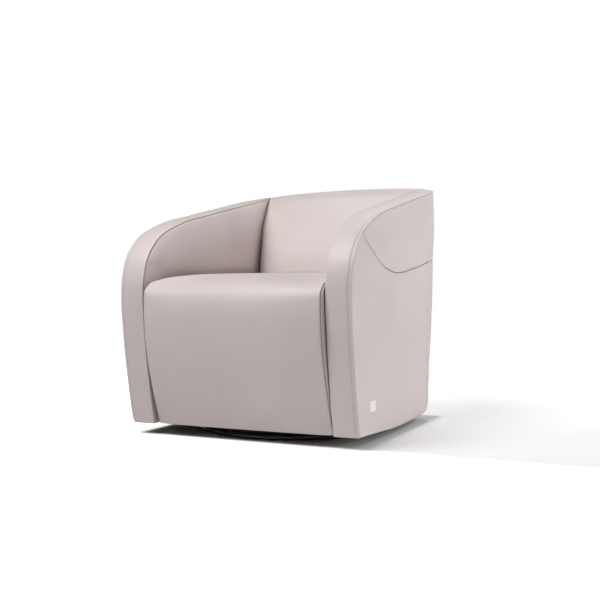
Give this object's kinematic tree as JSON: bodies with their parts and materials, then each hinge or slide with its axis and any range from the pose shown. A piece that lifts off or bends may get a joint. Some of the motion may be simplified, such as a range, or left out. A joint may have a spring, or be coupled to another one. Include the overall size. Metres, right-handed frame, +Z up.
{
  "type": "swivel club chair",
  "caption": "Low leather club chair: waterfall seat, rolled back cushion and wrap-round banded arms on a round swivel floor disc.",
  "frame": {"origin": "centre of the floor disc at floor level, on the swivel axis", "axes": "+X to the chair's left as seen from the front (the viewer's right), +Y towards the back, +Z up; the chair faces -Y"},
  "size_m": [0.6853, 0.8527, 0.7452],
  "materials": {
    "leather": "smooth semi-aniline leather, soft sheen",
    "disc_lacquer": "black gloss lacquer",
    "felt": "pressed black felt",
    "steel": "bright zinc-plated steel",
    "beech": "planed beech, unfinished",
    "plywood": "sawn plywood, unfinished",
    "webbing": "woven elastic webbing",
    "dust_cloth": "black non-woven cloth",
    "tag_cloth": "plain white woven tape, blank"
  },
  "bodies": {
    "base": {"bearing_bottom_plate": "steel", "bottom_plate_screw_1": "steel", "bottom_plate_screw_2": "steel", "bottom_plate_screw_3": "steel", "bottom_plate_screw_4": "steel", "floor_disc": "disc_lacquer", "floor_pad": "felt", "pivot_bolt": "steel", "pivot_nut": "steel"},
    "ball_ring": {"ball_cage": "steel"},
    "seat_body": {"arm_back_post_left": "beech", "arm_back_post_right": "beech", "arm_band_left": "leather", "arm_band_right": "leather", "arm_base_rail_left": "beech", "arm_base_rail_right": "beech", "arm_front_post_left": "beech", "arm_front_post_right": "beech", "arm_inner_left": "leather", "arm_inner_right": "leather", "arm_top_rail_left": "beech", "arm_top_rail_right": "beech", "back_base_rail": "plywood", "back_cushion": "leather", "back_post_left": "plywood", "back_post_right": "plywood", "back_stile_left": "plywood", "back_stile_right": "plywood", "back_top_rail": "plywood", "back_webbing": "webbing", "back_yoke_rail": "plywood", "base_front_rail": "beech", "bearing_top_plate": "steel", "corner_block_back_left": "beech", "corner_block_back_right": "beech", "corner_block_front_left": "beech", "corner_block_front_right": "beech", "dust_cover": "dust_cloth", "outer_back": "leather", "outer_side_left": "leather", "outer_side_right": "leather", "seat_back_rail": "beech", "seat_cushion": "leather", "seat_front_rail": "beech", "seat_spring_1": "steel", "seat_spring_2": "steel", "seat_spring_3": "steel", "seat_spring_4": "steel", "seat_spring_5": "steel", "side_tag": "tag_cloth", "swivel_board": "plywood", "top_plate_screw_1": "steel", "top_plate_screw_2": "steel", "top_plate_screw_3": "steel", "top_plate_screw_4": "steel", "yoke_back": "leather", "yoke_left": "leather", "yoke_right": "leather"}
  },
  "joints": [
    {"name": "swivel", "type": "hinge", "parent": "base", "child": "seat_body", "pos_m": [0, 0, 0.026], "axis": [0, 0, 1], "continuous": true},
    {"name": "ball_race", "type": "hinge", "parent": "base", "child": "ball_ring", "pos_m": [0, 0, 0.026], "axis": [0, 0, 1], "continuous": true}
  ],
  "couplings": [
    {"joint": "ball_race", "follows": "swivel", "ratio": 0.5}
  ]
}
